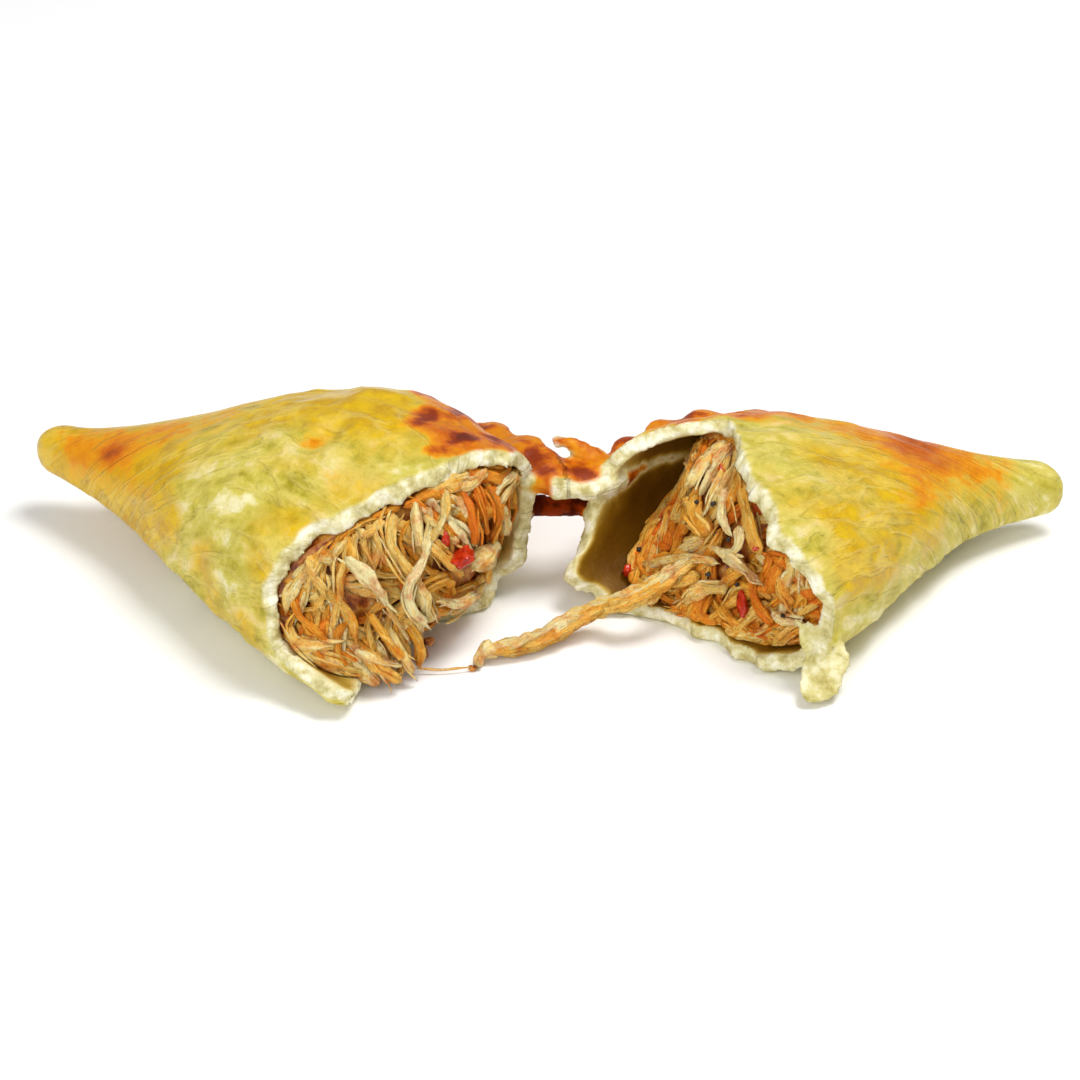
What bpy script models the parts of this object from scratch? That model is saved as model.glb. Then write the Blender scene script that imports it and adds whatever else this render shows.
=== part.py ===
"""An empanada of wheat dough, baked and then torn open across its middle.

The sealed rim at the back holds the two halves together, so they open like a book.
Each half is a shell of crust that runs from its torn mouth to a pinched tip. Shredded
chicken fills it. Units are metres, +Z is up, the mouths face -Y and the rim is at +Y.
The origin is at the middle of the base.
"""

import math
import random

import bmesh
import bpy
import numpy as np
from mathutils import Vector, noise

MM = 0.001
TURN = 2 * math.pi

# Dough
WALL = 2.9 * MM  # thickness of the baked dough
LUMP = 0.8 * MM  # height of the soft bumps over the filling
LUMP_SIZE = 16 * MM
JAG = 1.1 * MM  # how uneven the torn edge is
ROUND_END = 0.94  # share of a half's length where its tip starts to close

# Sealed rim
RIM_WIDTH = 8.0 * MM  # how far it stands out
RIM_THICK = 4.4 * MM  # both layers of dough, pressed together
RIM_BITE = 2.4 * MM  # how far the strip runs into the shell's wall
RIM_TILT = 0.22  # it rises a little towards its outer edge
RIM_END = 0.93  # share of a half's length that it reaches
RIM_TIP_SHARE = 0.28  # the rim's width at the tips
RIM_TIP_RUN = 48 * MM  # how far from a tip it reaches its full width
CRIMP_PITCH = 9.5 * MM  # one press of the finger
CRIMP_DEPTH = 0.8 * MM

# Hinge, where only the rim still joins the halves
HINGE_RUN = 15 * MM  # half the length of the bridge
HINGE_BITE = 3.0 * MM  # how much deeper the strip's torn front is there
HINGE_SWELL = 0.3
HINGE_DIP = 1.5 * MM
HINGE_SHIFT = 4 * MM  # its middle lies on the right half's side
PINCH = 0.45  # share of its width that the rim loses next to the hinge
PINCH_RUN = 22 * MM
PINCH_SHIFT = 14 * MM

# Filling
GAP = 0.4 * MM  # clearance between crust and filling
FACE_HEIGHT = 15 * MM  # middle of the torn face over the table
FACE_LUMP = 1.6 * MM
FACE_LUMP_SIZE = 7 * MM
STRANDS = 24
STRAND_CLEAR = 0.5 * MM  # between a strand and the crust

# How finely each surface is divided
SHELL_SEGMENTS = 44
SHELL_RINGS = 34
RIM_SEGMENTS = 10
RIM_RINGS = 84
CORE_SEGMENTS = 30
CORE_RINGS = 20
STRAND_SEGMENTS = 6
STRAND_RINGS = 8
CRUST_FACES = 6000
FILLING_FACES = 3000


def ease(x):
    """Smooth step from 0 to 1."""
    x = np.clip(x, 0, 1)
    return x * x * (3 - 2 * x)


def around(values, angle):
    """A smooth closed curve through values that stand at even angles round a section."""
    values = np.asarray(values, float)
    place = (np.asarray(angle) / TURN * len(values)) % len(values)
    first = np.floor(place).astype(int)
    f = place - first
    p0, p1, p2, p3 = (values[(first + k) % len(values)] for k in (-1, 0, 1, 2))
    bend = 2 * p0 - 5 * p1 + 4 * p2 - p3 + f * (3 * (p1 - p2) + p3 - p0)
    return p1 + 0.5 * f * (p2 - p0 + f * bend)


def rough(point, size, seed):
    """Smooth noise from about -1 to 1, with bumps of the given size."""
    x, y, z = (c / size for c in point)
    return noise.noise(Vector((x + seed, y - seed, z + 2 * seed)))


class Half:
    """One half of the pastry: a bag that narrows from its torn mouth to its tip.

    Along it, a is the distance from the mouth, and b the distance from the folded edge
    towards the rim. Round a section the angle runs from the rim (0) over the dome (90),
    to the fold (180) and back under the base (270 degrees). Sizes are given in mm.
    """

    tip_b = 5.0 * MM  # the tip's middle, from the line of the fold
    tip_r = 4.4 * MM
    fold_z = 12.5 * MM

    def __init__(self, side, turn, corner, length, width, dome, rim_z, tip_z, **shape):
        self.side = side  # -1 for the left half, +1 for the right one
        self.corner = [c * MM for c in corner]  # where the fold meets the mouth, in plan
        self.length = length * MM
        self.width = width * MM  # fold to rim, at the mouth
        self.dome = dome * MM  # height over the line from rim to fold
        self.rim_z = rim_z * MM
        self.tip_z = tip_z * MM
        self.tear = [depth * MM for depth in shape["tear"]]  # how deep the crust is torn back
        self.fill = [depth * MM for depth in shape["fill"]]  # where the filling meets it
        self.fill_middle = shape["fill_middle"] * MM
        self.fold_bow = shape["fold_bow"] * MM  # how far the folded edge curves in
        self.mouth_drop = shape["mouth_drop"]  # share of the dome's height lost at the mouth
        self.dome_run = shape["dome_run"]
        self.rim_fall = shape["rim_fall"]
        angle = math.radians(turn)
        self.along = (side * math.cos(angle), math.sin(angle))
        self.across = (-side * math.sin(angle), math.cos(angle))

    def outline(self, u):
        """Rim and fold distances at share u of the length."""
        nub = self.tip_b + self.tip_r
        rim = nub + (self.width - nub) * (1 + np.cos(np.pi * u**1.9)) / 2
        fold = (self.tip_b - self.tip_r) * u**1.3 + self.fold_bow * np.sin(np.pi * u**1.7)
        return rim, fold

    def heights(self, u):
        """Heights of the rim, the fold, the underside and the dome at share u."""
        rim = self.rim_z + (self.tip_z - self.rim_z) * ease(u * self.rim_fall)
        fold = self.fold_z + (self.tip_z - self.fold_z) * u**2
        under = (self.tip_z - self.tip_r) * ease((u - 0.25) / 0.75)
        body = self.dome * (1 - self.mouth_drop * (1 - ease(u / 0.35)))
        dome = self.tip_r + (body - self.tip_r) * (1 + np.cos(np.pi * u**self.dome_run)) / 2
        return rim, fold, under, dome

    def section(self, a, phi, inset=0.0, close=1.0):
        """Across-distance and height of the skin at distance a and angle phi.

        inset moves it inwards, and close (0 to 1) draws the section to its middle.
        """
        u = np.clip(a / self.length, 0, 1)
        rim, fold = self.outline(u)
        rim_z, fold_z, under, dome = self.heights(u)
        tip = 1 - (np.clip(u - ROUND_END, 0, None) / (1 - ROUND_END)) ** 2
        close = close * np.sqrt(np.clip(tip, 0, 1))
        cos, sin = np.cos(phi), np.sin(phi)
        seam = fold_z + (rim_z - fold_z) * (1 + cos) / 2
        b = (rim + fold) / 2 + ((rim - fold) / 2 - inset) * cos * close
        blunt = 0.75 + 0.25 * (1 + cos) / 2
        over = seam + close * (dome - inset) * np.abs(sin) ** blunt
        flat_belly = np.minimum(1.12 * np.abs(sin) ** 0.55, 1)
        below = seam - close * (seam - under - inset) * flat_belly
        return b, np.where(sin >= 0, over, below)

    def world(self, a, b, z):
        """The point at distances a and b on this half, at height z."""
        x = self.corner[0] + a * self.along[0] + b * self.across[0]
        y = self.corner[1] + a * self.along[1] + b * self.across[1]
        return Vector((float(x), float(y), float(z)))

    def lumped(self, a, phi, inset, close=1.0):
        """A point of the skin with the soft bumps of the filling under it."""
        lift = rough((a, phi * 12 * MM, 0), LUMP_SIZE, 3.1 + self.side) * LUMP
        lift *= float(ease(1.15 - a / self.length))
        if math.sin(phi) < -0.2:  # the underside lies flat on the table
            lift = 0.0
        b, z = self.section(a, phi, inset - lift, close)
        return self.world(a, b, z)

    def wall_point(self, a, turn):
        """A point in the middle of the wall, turn degrees round the section."""
        b, z = self.section(a, math.radians(turn), WALL / 2)
        return self.world(a, b, z)

    def torn_edge(self, phi):
        return float(around(self.tear, phi))

    def face_a(self, r, phi):
        """How deep the filling's face lies, r from its middle (0) to the wall (1)."""
        return self.fill_middle * (1 - r * r) + float(around(self.fill, phi)) * r * r


LEFT = Half(
    side=-1,
    turn=51.5,
    corner=(-45.5, -34.0),
    length=84,
    width=57,
    dome=21.4,
    rim_z=22.5,
    tip_z=13,
    tear=[2, 0, -1, -1.5, 0, 3, 3, -12, -4, 1, 3, 3],
    fill=[4, 2, 1, 0.5, 2, 5, 4, -3, -6, -1, 3, 5],
    fill_middle=-6,
    fold_bow=3.2,
    mouth_drop=0.28,
    dome_run=1.35,
    rim_fall=1.12,
)
RIGHT = Half(
    side=1,
    turn=46.5,
    corner=(47.5, -30.0),
    length=73,
    width=54,
    dome=14,
    rim_z=21,
    tip_z=8.5,
    tear=[0, 6, 18, 9, 2, 0, 1, -2, -4, -4, -5, -11],
    fill=[24, 23, 21, 13, 7, 4, 5, 3, 0, -2, -3, 4],
    fill_middle=4,
    fold_bow=6,
    mouth_drop=0,
    dome_run=1.5,
    rim_fall=0.8,
)


def moulded(name, rings, segments, place):
    """A UV ball whose points are moved to place(t, phi), with t from 0 to 1, pole to pole."""
    shape = bmesh.new()
    bmesh.ops.create_uvsphere(shape, u_segments=segments, v_segments=rings, radius=1)
    for vert in shape.verts:
        t = math.acos(max(-1.0, min(1.0, vert.co.z))) / math.pi
        phi = math.atan2(vert.co.y, vert.co.x) % TURN
        vert.co = place(t, phi)
    if shape.calc_volume(signed=True) < 0:
        bmesh.ops.reverse_faces(shape, faces=shape.faces)
    bmesh.ops.triangulate(shape, faces=shape.faces)
    mesh = bpy.data.meshes.new(name)
    shape.to_mesh(mesh)
    shape.free()
    made = bpy.data.objects.new(name, mesh)
    bpy.context.scene.collection.objects.link(made)
    return made


def shell(half, name):
    """The bag of dough: its skin from the tip to the torn mouth, then its inner wall back in."""
    outside_share = 0.62
    cavity_end = 0.8 * half.length
    narrowing = 0.5  # share of the cavity's depth where it starts to close
    lip = 1 / 6  # share of the inner wall over which the torn lip is rounded
    draw = random.Random(7 + half.side)
    jags = [draw.uniform(-JAG, JAG) for _ in range(SHELL_SEGMENTS)]

    def place(t, phi):
        edge = half.torn_edge(phi) + jags[round(phi / TURN * SHELL_SEGMENTS) % SHELL_SEGMENTS]
        if t <= outside_share:
            run = math.sin((1 - t / outside_share) * math.pi / 2)
            return half.lumped(edge + (half.length - edge) * run, phi, 0.0)
        run = (t - outside_share) / (1 - outside_share)
        if run == 1:
            return half.lumped(cavity_end, 0.0, WALL, 0.0)
        a = edge + (cavity_end - edge) * math.sin(run * math.pi / 2)
        depth = max(0.0, (a / cavity_end - narrowing) / (1 - narrowing))
        thin = WALL * min(1.0, run / lip)
        return half.lumped(a, phi, thin, math.sqrt(max(0.0, 1 - depth**2)))

    return moulded(name, SHELL_RINGS, SHELL_SEGMENTS, place)


def run_of(points):
    """The length of a path."""
    return sum((b - a).length for a, b in zip(points, points[1:]))


def smooth_path(points, steps=6):
    """A Catmull-Rom curve through a few points."""
    ends = [points[0] * 2 - points[1], *points, points[-1] * 2 - points[-2]]
    path = []
    for p0, p1, p2, p3 in zip(ends, ends[1:], ends[2:], ends[3:]):
        for k in range(steps):
            f = k / steps
            bend = (2 * p0 - 5 * p1 + 4 * p2 - p3) + (3 * (p1 - p2) + p3 - p0) * f
            path.append(p1 + (p2 - p0 + bend * f) * (0.5 * f))
    return [*path, points[-1]]


def along(points, t):
    """The point and direction at share t of a path's length."""
    steps = [(b - a).length for a, b in zip(points, points[1:])]
    left = t * sum(steps)
    for k, step in enumerate(steps):
        if left <= step or k == len(steps) - 1:
            f = min(1.0, left / step) if step else 0.0
            a, b = points[max(k - 1, 0)], points[min(k + 2, len(points) - 1)]
            return points[k].lerp(points[k + 1], f), (b - a).normalized()
        left -= step


def rim_root(half, u):
    """A point on the line where the rim leaves the shell, at share u of the length."""
    b, z = half.section(u * half.length, 0.0)
    return half.world(u * half.length, b, z)


def rim_path():
    """The rim's root from the left tip, over the hinge between the halves, to the right tip."""
    steps = 64
    bend = 10  # the corner at the hinge is relaxed over this many steps each way
    left = [rim_root(LEFT, RIM_END * (1 - k / steps)) for k in range(steps)]
    right = [rim_root(RIGHT, RIM_END * k / steps) for k in range(1, steps + 1)]
    points = left + right
    span = range(steps - bend, steps + bend)
    for _ in range(14):
        eased = [(points[k - 1] + 2 * points[k] + points[k + 1]) / 4 for k in span]
        points[span.start : span.stop] = eased
    return points


def rim(name):
    """The sealed edge: one strip of pressed dough that both halves hang from."""
    path = rim_path()
    length = run_of(path)
    corner_at = run_of(path[: len(path) // 2])

    def near(t, shift, run):
        """1 at the hinge's corner, moved by shift, and 0 from run away from it."""
        return float(ease(1 - abs(t * length - corner_at - shift) / run))

    def place(t, phi):
        point, ahead = along(path, t)
        if t in (0, 1):
            return point
        out = Vector((-ahead.y, ahead.x, RIM_TILT)).normalized()
        up = ahead.cross(out).normalized()
        if up.z < 0:
            up.negate()
        hinge = near(t, HINGE_SHIFT, HINGE_RUN)
        wave = math.cos(TURN * t * length / CRIMP_PITCH)
        tip = float(ease(min(t, 1 - t) * length / RIM_TIP_RUN))
        taper = RIM_TIP_SHARE + (1 - RIM_TIP_SHARE) * tip
        width = RIM_WIDTH * (1 - PINCH * near(t, PINCH_SHIFT, PINCH_RUN))
        reach = (width + CRIMP_DEPTH * wave) * taper
        bite = RIM_BITE + HINGE_BITE * hinge
        side = 0.5 + 0.5 * math.cos(phi)
        thick = RIM_THICK / 2 * (1 + 0.15 * wave) * (1 - 0.25 * side) * (1 + HINGE_SWELL * hinge)
        sideways = (reach + bite) * side - bite
        dip = Vector((0, 0, HINGE_DIP * hinge))
        return point - dip + out * sideways + up * (thick * taper * math.sin(phi))

    return moulded(name, RIM_RINGS, RIM_SEGMENTS, place)


def strip(name, points, wide, thick, face=(0, 0, 1), skew=1.0, blunt=0.45, rings=STRAND_RINGS):
    """A torn strip along a smooth path, whose broad side looks towards face.

    wide and thick are half sizes. A skew over 1 makes its start the pointed end, and a
    smaller blunt keeps its width further towards both ends.
    """
    path = smooth_path(points)

    def place(t, phi):
        point, ahead = along(path, t)
        if t in (0, 1):
            return point
        side = ahead.cross(Vector(face)).normalized()
        up = side.cross(ahead).normalized()
        share = math.sin(math.pi * t**skew) ** blunt
        return point + side * (wide * share * math.cos(phi)) + up * (thick * share * math.sin(phi))

    return moulded(name, rings, STRAND_SEGMENTS, place)


def from_root(root, places):
    """Points given in mm from a root point."""
    return [root + Vector(place) * MM for place in places]


def lower_ribbon(name):
    """The browned bottom layer, still whole in a narrow strip under the hinge."""
    left = LEFT.wall_point(6 * MM, 355)
    right = RIGHT.wall_point(4 * MM, 355)
    sag = Vector((0, 0, -1 * MM))
    middle = [left.lerp(right, share) + sag for share in (0.35, 0.5, 0.65)]
    return strip(name, [left, *middle, right], 2.4 * MM, 1 * MM, face=(0.2, -0.5, 0.8), blunt=0.2)


def front_flap(name):
    """A tongue of torn dough that hangs from the right half's front corner to the table."""
    root = RIGHT.wall_point(0, 205)
    places = [(-3.5, -1.5, 8.5), (-0.5, -1.8, 5), (2, -2, 0.8), (1.2, -5.5, -2.1), (-1.2, -9.8, -2.9)]
    points = from_root(root, places)
    return strip(name, points, 3.8 * MM, 1.4 * MM, face=(0, -0.6, 0.8), skew=1.5, rings=12)


def hinge_flake(name):
    """A flake of the top layer that has lifted off the rim at the hinge."""
    path = rim_path()
    root = path[len(path) // 2 + 4]
    places = [(0, 0.5, 0), (-2.8, 0.3, 1.6), (-6, 1, 3), (-8.5, 1.3, 4), (-11.5, 1.9, 4.4)]
    return strip(name, from_root(root, places), 1.9 * MM, 0.8 * MM, face=(0, -0.5, 0.85))


def long_shred(name):
    """The strand of meat that hangs over the right half's lip and lies on the table."""
    places = [
        (29.5, -4, 12),
        (24.8, -7.5, 11.4),
        (19.4, -12.2, 10),
        (14.2, -14, 8),
        (9, -12.4, 5.5),
        (3.7, -14.4, 3.6),
        (-1.5, -18.4, 2.5),
        (-6.7, -20.6, 2.2),
        (-11.2, -21.9, 2),
    ]
    points = from_root(Vector(), places)
    return strip(name, points, 2.3 * MM, 1.9 * MM, blunt=0.3, rings=22)


def face_place(half, r, phi, a=0.0):
    """Across-distance and height of a place on the filling's face, at distance a."""
    b, z = half.section(a, phi, WALL + GAP)
    middle_b, middle_z = half.section(a, phi, WALL + GAP, 0.0)
    middle_z = 0.55 * middle_z + 0.45 * FACE_HEIGHT
    return middle_b + (b - middle_b) * r, middle_z + (z - middle_z) * r


def face_point(half, r, phi, proud):
    """A point on the filling's torn face, moved out of the mouth by proud."""
    a = half.face_a(r, phi)
    b, z = face_place(half, r, phi, a)
    lump = rough((b, z, 0), FACE_LUMP_SIZE, 11 + half.side) * FACE_LUMP * (1 - r**4)
    return half.world(a - proud + lump, b, z)


def face_polar(half, b, z, clear):
    """The r and phi whose face_place is b, z, kept clear of the wall.

    The angle is found by a short search.
    """
    tries = 72
    best = None
    for k in range(tries):
        phi = TURN * k / tries
        edge_b, edge_z = face_place(half, 1, phi)
        middle_b, middle_z = face_place(half, 0, phi)
        out = Vector((edge_b - middle_b, edge_z - middle_z))
        here = Vector((b - middle_b, z - middle_z))
        r = here.dot(out) / out.length_squared
        miss = (here - out * r).length
        if r >= 0 and (best is None or miss < best[0]):
            best = (miss, min(r, 1 - clear / out.length), phi)
    return best[1], best[2]


def filling_core(half, name):
    """The packed meat: the cavity's own shape, and a lumpy face across the torn mouth."""
    wall_share = 0.5
    inner = 0.76 * half.length
    narrowing = 0.5

    def place(t, phi):
        if t == 0:
            return half.lumped(inner, 0.0, WALL + GAP, 0.0)
        if t > wall_share:
            return face_point(half, (1 - t) / (1 - wall_share), phi, 0.0)
        front = half.face_a(1, phi)
        a = inner + (front - inner) * math.sin(t / wall_share * math.pi / 2)
        depth = max(0.0, (a / inner - narrowing) / (1 - narrowing))
        return half.lumped(a, phi, WALL + GAP, math.sqrt(max(0.0, 1 - depth**2)))

    return moulded(name, CORE_RINGS, CORE_SEGMENTS, place)


def face_strand(half, name, draw):
    """A torn fibre of meat that lies on the filling's face, drawn at random."""
    middle_b, middle_z = face_place(half, math.sqrt(draw.uniform(0.0, 0.8)), draw.uniform(0, TURN))
    heading = draw.gauss(2.0, 0.6)
    length = draw.uniform(12, 26) * MM
    radius = draw.uniform(1.3, 2.2) * MM
    bow = draw.uniform(-1, 1) * length
    proud = draw.uniform(0.8, 2.2) * MM
    points = []
    for s in (-0.5, -0.17, 0.17, 0.5):
        off = bow * (0.25 - s * s)
        b = middle_b + s * length * math.cos(heading) - off * math.sin(heading)
        z = middle_z + s * length * math.sin(heading) + off * math.cos(heading)
        r, phi = face_polar(half, b, z, radius + STRAND_CLEAR)
        points.append(face_point(half, r, phi, proud * (1 - s * s)))
    return strip(name, points, radius, radius * draw.uniform(0.6, 0.9))


def torn_filling(half, draw):
    """The core of a half's filling and the strands that show on its face."""
    strands = [face_strand(half, f"strand_{k}", draw) for k in range(STRANDS)]
    return [filling_core(half, "core"), *strands]


def apply_modifiers(piece):
    graph = bpy.context.evaluated_depsgraph_get()
    mesh = bpy.data.meshes.new_from_object(piece.evaluated_get(graph))
    piece.modifiers.clear()
    piece.data = mesh


def cleaned(piece):
    """Mends the pinches that thinning leaves, and keeps the largest body of the mesh."""
    shape = bmesh.new()
    shape.from_mesh(piece.data)
    for _ in range(3):
        pinched = [vert for vert in shape.verts if not vert.is_manifold]
        bmesh.ops.delete(shape, geom=pinched, context="VERTS")
        open_edges = [edge for edge in shape.edges if edge.is_boundary]
        bmesh.ops.holes_fill(shape, edges=open_edges, sides=0)
        bmesh.ops.triangulate(shape, faces=shape.faces)
    left = set(shape.faces)
    bodies = []
    while left:
        body = {left.pop()}
        front = list(body)
        while front:
            face = front.pop()
            near = {other for edge in face.edges for other in edge.link_faces} & left
            left -= near
            body |= near
            front.extend(near)
        bodies.append(body)
    bodies.sort(key=len)
    for scrap in bodies[:-1]:
        bmesh.ops.delete(shape, geom=list(scrap), context="FACES")
    shape.to_mesh(piece.data)
    shape.free()


def joined(name, pieces, colour, roughness, most_faces):
    """One closed solid from many: a Boolean union on a collection, thinned to most_faces."""
    group = bpy.data.collections.new(name + "_pieces")
    bpy.context.scene.collection.children.link(group)
    base, *rest = pieces
    for piece in rest:
        bpy.context.scene.collection.objects.unlink(piece)
        group.objects.link(piece)
    fuse = base.modifiers.new("fuse", "BOOLEAN")
    fuse.operand_type = "COLLECTION"
    fuse.collection = group
    fuse.operation = "UNION"
    fuse.solver = "MANIFOLD"
    apply_modifiers(base)
    for piece in rest:
        bpy.data.objects.remove(piece)
    bpy.data.collections.remove(group)
    base.modifiers.new("triangles", "TRIANGULATE")
    apply_modifiers(base)
    thin = base.modifiers.new("thin", "DECIMATE")
    thin.ratio = min(1.0, most_faces / len(base.data.polygons))
    apply_modifiers(base)
    cleaned(base)
    base.name = base.data.name = name
    finish = bpy.data.materials.new(name)
    finish.use_nodes = True
    surface = finish.node_tree.nodes["Principled BSDF"]
    surface.inputs["Base Color"].default_value = (*colour, 1)
    surface.inputs["Roughness"].default_value = roughness
    surface.inputs["Metallic"].default_value = 0.0
    base.data.materials.clear()
    base.data.materials.append(finish)
    base.data.shade_smooth()


for thing in list(bpy.data.objects):
    bpy.data.objects.remove(thing)

halves = [shell(LEFT, "left_half"), shell(RIGHT, "right_half"), rim("rim")]
torn = [lower_ribbon("ribbon"), front_flap("flap"), hinge_flake("flake")]
joined("crust", halves + torn, (0.72, 0.50, 0.16), 0.45, CRUST_FACES)

draw = random.Random(22)
joined("filling_left", torn_filling(LEFT, draw), (0.70, 0.40, 0.18), 0.5, FILLING_FACES)
right_meat = [*torn_filling(RIGHT, draw), long_shred("shred")]
joined("filling_right", right_meat, (0.66, 0.38, 0.12), 0.5, FILLING_FACES)
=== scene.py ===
import math
import random

import bmesh
import bpy
import numpy as np
from mathutils import Matrix, Vector, kdtree, noise


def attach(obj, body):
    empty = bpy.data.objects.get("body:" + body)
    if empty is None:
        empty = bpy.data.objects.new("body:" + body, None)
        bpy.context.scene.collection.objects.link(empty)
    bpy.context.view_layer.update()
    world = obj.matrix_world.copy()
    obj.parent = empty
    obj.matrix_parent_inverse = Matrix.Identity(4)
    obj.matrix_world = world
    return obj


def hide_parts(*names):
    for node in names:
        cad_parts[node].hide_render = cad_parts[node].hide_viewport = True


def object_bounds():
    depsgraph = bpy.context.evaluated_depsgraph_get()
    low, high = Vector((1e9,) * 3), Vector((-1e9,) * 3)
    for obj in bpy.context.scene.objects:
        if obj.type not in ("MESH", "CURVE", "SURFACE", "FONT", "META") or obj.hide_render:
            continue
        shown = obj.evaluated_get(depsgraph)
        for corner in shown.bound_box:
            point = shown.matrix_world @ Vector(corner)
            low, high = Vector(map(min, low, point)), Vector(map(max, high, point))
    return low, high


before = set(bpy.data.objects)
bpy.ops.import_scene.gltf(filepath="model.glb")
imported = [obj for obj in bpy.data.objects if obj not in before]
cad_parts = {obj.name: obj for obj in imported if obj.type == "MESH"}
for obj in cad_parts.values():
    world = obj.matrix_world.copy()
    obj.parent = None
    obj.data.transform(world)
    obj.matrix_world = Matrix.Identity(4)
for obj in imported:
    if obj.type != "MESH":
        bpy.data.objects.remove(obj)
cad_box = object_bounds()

noise.seed_set(7)  # unseeded, noise_vector gives other values in each run

# The crust
# One round of wheat dough, folded over its filling, crimped along the edge, brushed with
# beaten egg and baked. It was then torn open across the middle, so each half is a bag with a
# torn mouth, and the rim at the back still joins them. Sizes are those of the CAD model.

MM = 0.001
TURN = 2 * math.pi
WALL = 2.9 * MM  # thickness of the baked dough
LUMP = 0.8 * MM  # soft bumps over the filling
LUMP_SIZE = 16 * MM
ROUND_END = 0.94  # share of a half's length where its tip starts to close
CORNER_SHARE = 12 * MM  # an angle round a section, as a distance


def ease(x):
    """Smooth step from 0 to 1."""
    x = np.clip(x, 0, 1)
    return x * x * (3 - 2 * x)


def around(values, angle):
    """A smooth closed curve through values that stand at even angles round a section."""
    values = np.asarray(values, float)
    place = (np.asarray(angle) / TURN * len(values)) % len(values)
    first = np.floor(place).astype(int)
    f = place - first
    p0, p1, p2, p3 = (values[(first + k) % len(values)] for k in (-1, 0, 1, 2))
    bend = 2 * p0 - 5 * p1 + 4 * p2 - p3 + f * (3 * (p1 - p2) + p3 - p0)
    return p1 + 0.5 * f * (p2 - p0 + f * bend)


def rough(point, size, seed):
    """Smooth noise from about -1 to 1, with bumps of the given size."""
    x, y, z = (c / size for c in point)
    return noise.noise(Vector((x + seed, y - seed, z + 2 * seed)))


def relief_at(point, layers, seed_shift=0):
    """The sum of some layers of noise at a point, each given as height, size (mm) and seed."""
    heights = (height * rough(point, size * MM, seed + seed_shift) for height, size, seed in layers)
    return sum(heights) * MM


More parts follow.
